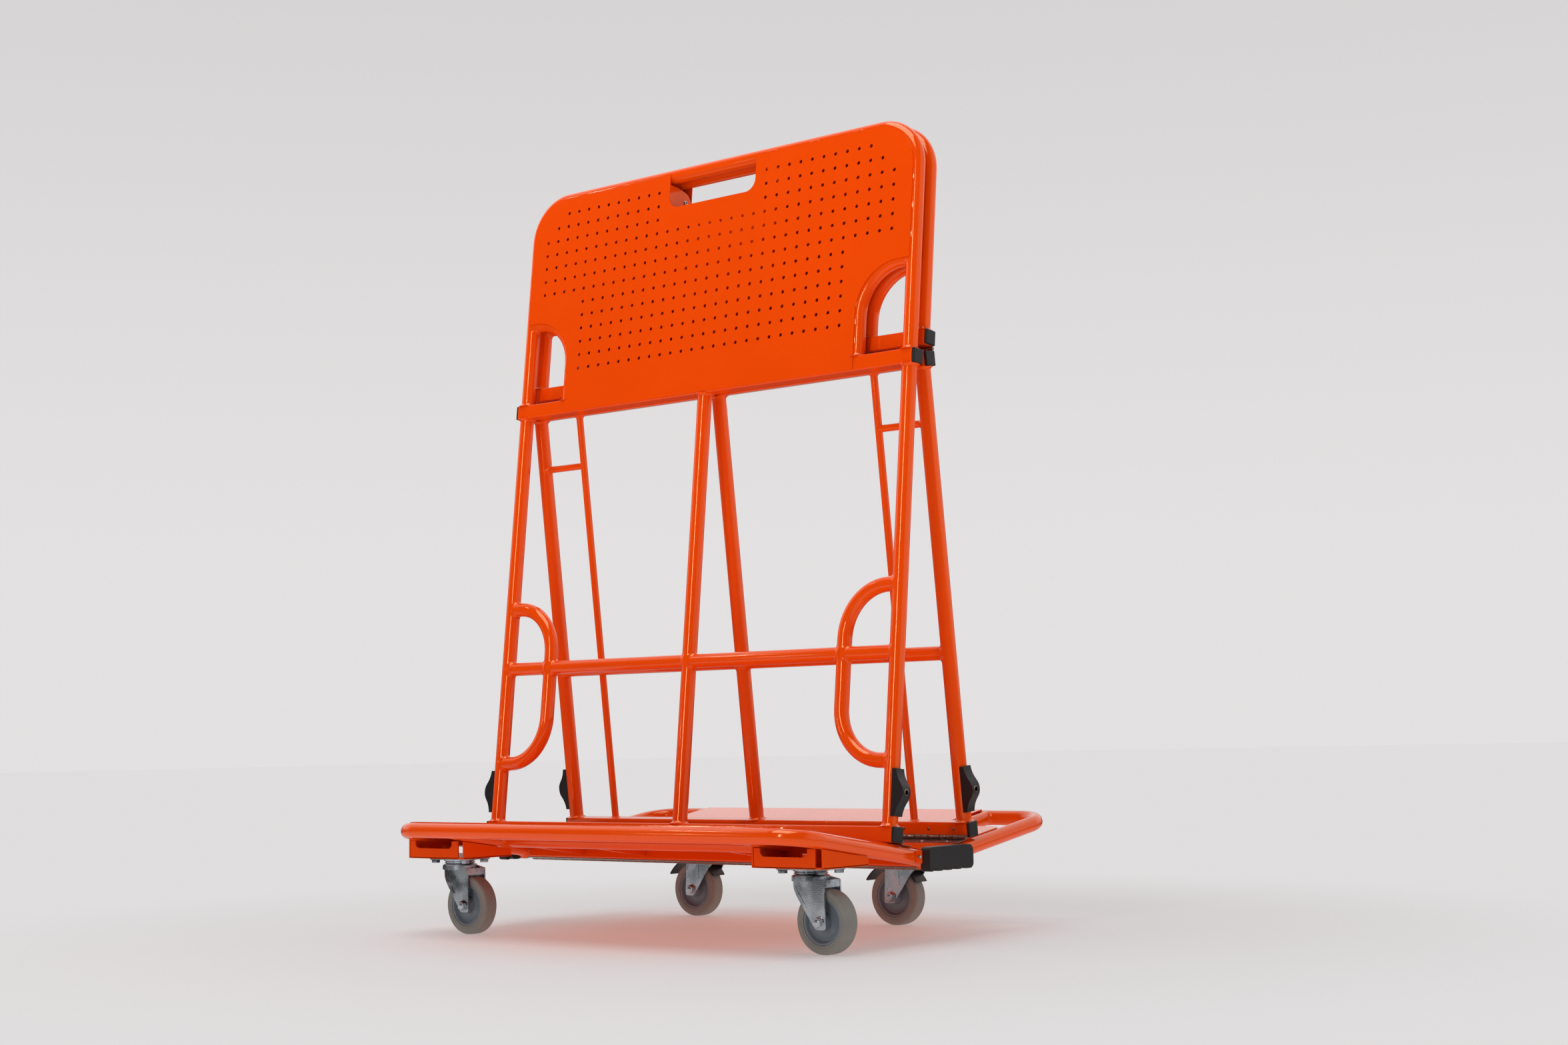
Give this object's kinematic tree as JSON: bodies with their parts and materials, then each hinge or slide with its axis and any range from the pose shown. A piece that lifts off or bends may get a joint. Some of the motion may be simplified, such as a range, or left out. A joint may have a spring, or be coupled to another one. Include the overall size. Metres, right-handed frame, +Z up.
{
  "type": "folding panel cart",
  "caption": "Folding A-frame cart with peg panels on leaning tube legs, a hinged deck that folds up in the middle, and swivel casters.",
  "frame": {"origin": "on the floor under the hinge between the two deck leaves, in the middle of the cart", "axes": "+X along the cart, +Y from the near side to the far side, +Z up"},
  "size_m": [0.978, 0.7032, 1.3575],
  "materials": {
    "orange_paint": "glossy powder coat",
    "black_plastic": "moulded, satin",
    "zinc_steel": "bright zinc plate",
    "grey_tread": "grey elastomer tread",
    "grey_core": "dark grey moulding",
    "hinge_steel": "rolled steel, partly painted over"
  },
  "bodies": {
    "near_frame": {"near_upper_tubes": "orange_paint", "far_upper_tubes": "orange_paint", "near_panel": "orange_paint", "far_panel": "orange_paint", "near_cross_bars": "orange_paint", "far_upper_bar": "orange_paint", "near_bar_caps": "black_plastic", "near_lower_tubes": "orange_paint", "near_loops": "orange_paint", "near_bumpers": "black_plastic", "hoop_lugs": "orange_paint", "near_hinge_frame_leaf": "hinge_steel", "mid_hinge_upper_leaf": "hinge_steel", "mid_hinge_pin": "hinge_steel"},
    "near_deck": {"near_deck_loop": "orange_paint", "near_deck_bracing": "orange_paint", "near_deck_plate": "orange_paint", "near_hinge_deck_leaf": "hinge_steel", "near_hinge_pin": "hinge_steel", "fold_hinge_near_leaf": "hinge_steel", "fold_hinge_pin": "hinge_steel", "end_grips": "black_plastic", "near_caster_brackets": "orange_paint", "near_caster_plates": "zinc_steel", "near_caster_bolts": "zinc_steel"},
    "far_deck": {"far_deck_loop": "orange_paint", "far_deck_bracing": "orange_paint", "far_deck_plate": "orange_paint", "far_hinge_deck_leaf": "hinge_steel", "far_hinge_pin": "hinge_steel", "fold_hinge_far_leaf": "hinge_steel", "far_caster_brackets": "orange_paint", "far_caster_plates": "zinc_steel", "far_caster_bolts": "zinc_steel"},
    "far_legs": {"far_cross_bars": "orange_paint", "far_bar_caps": "black_plastic", "far_lower_tubes": "orange_paint", "far_ladder_tubes": "orange_paint", "far_bumpers": "black_plastic", "far_hinge_frame_leaf": "hinge_steel", "mid_hinge_lower_leaf": "hinge_steel"},
    "near_left_swivel": {"near_left_fork": "zinc_steel", "near_left_axle": "zinc_steel"},
    "near_left_wheel": {"near_left_tyre": "grey_tread", "near_left_wheel_core": "grey_core"},
    "near_right_swivel": {"near_right_fork": "zinc_steel", "near_right_axle": "zinc_steel"},
    "near_right_wheel": {"near_right_tyre": "grey_tread", "near_right_wheel_core": "grey_core"},
    "far_left_swivel": {"far_left_fork": "zinc_steel", "far_left_axle": "zinc_steel"},
    "far_left_wheel": {"far_left_tyre": "grey_tread", "far_left_wheel_core": "grey_core"},
    "far_left_pedal": {"far_left_brake": "black_plastic"},
    "far_right_swivel": {"far_right_fork": "zinc_steel", "far_right_axle": "zinc_steel"},
    "far_right_wheel": {"far_right_tyre": "grey_tread", "far_right_wheel_core": "grey_core"},
    "far_right_pedal": {"far_right_brake": "black_plastic"}
  },
  "joints": [
    {"name": "deck_fold", "type": "hinge", "parent": "near_frame", "child": "near_deck", "pos_m": [0, -0.0872, 0.1622], "axis": [1, 0, 0], "range_deg": [0, 70]},
    {"name": "leaf_fold", "type": "hinge", "parent": "near_deck", "child": "far_deck", "pos_m": [0, 0, 0.1166], "axis": [1, 0, 0], "range_deg": [-141.4, 0]},
    {"name": "far_leg_fold", "type": "hinge", "parent": "far_deck", "child": "far_legs", "pos_m": [0, 0.0872, 0.1622], "axis": [1, 0, 0], "range_deg": [0, 69.2]},
    {"name": "near_left_swivel_turn", "type": "hinge", "parent": "near_deck", "child": "near_left_swivel", "pos_m": [-0.395, -0.24, 0.125], "axis": [0, 0, 1], "continuous": true},
    {"name": "near_left_wheel_spin", "type": "hinge", "parent": "near_left_swivel", "child": "near_left_wheel", "pos_m": [-0.365, -0.24, 0.05], "axis": [0, 1, 0], "continuous": true},
    {"name": "near_right_swivel_turn", "type": "hinge", "parent": "near_deck", "child": "near_right_swivel", "pos_m": [0.395, -0.24, 0.125], "axis": [0, 0, 1], "continuous": true},
    {"name": "near_right_wheel_spin", "type": "hinge", "parent": "near_right_swivel", "child": "near_right_wheel", "pos_m": [0.425, -0.24, 0.05], "axis": [0, 1, 0], "continuous": true},
    {"name": "far_left_swivel_turn", "type": "hinge", "parent": "far_deck", "child": "far_left_swivel", "pos_m": [-0.233, 0.24, 0.125], "axis": [0, 0, 1], "continuous": true},
    {"name": "far_left_wheel_spin", "type": "hinge", "parent": "far_left_swivel", "child": "far_left_wheel", "pos_m": [-0.263, 0.24, 0.05], "axis": [0, 1, 0], "continuous": true},
    {"name": "far_left_brake_press", "type": "hinge", "parent": "far_left_swivel", "child": "far_left_pedal", "pos_m": [-0.255, 0.24, 0.1065], "axis": [0, -1, 0], "range_deg": [0, 6]},
    {"name": "far_right_swivel_turn", "type": "hinge", "parent": "far_deck", "child": "far_right_swivel", "pos_m": [0.233, 0.24, 0.125], "axis": [0, 0, 1], "continuous": true},
    {"name": "far_right_wheel_spin", "type": "hinge", "parent": "far_right_swivel", "child": "far_right_wheel", "pos_m": [0.203, 0.24, 0.05], "axis": [0, 1, 0], "continuous": true},
    {"name": "far_right_brake_press", "type": "hinge", "parent": "far_right_swivel", "child": "far_right_pedal", "pos_m": [0.211, 0.24, 0.1065], "axis": [0, -1, 0], "range_deg": [0, 6]}
  ],
  "couplings": [
    {"joint": "leaf_fold", "follows": "deck_fold", "ratio": -2.0185},
    {"joint": "far_leg_fold", "follows": "deck_fold", "ratio": 0.9872}
  ]
}
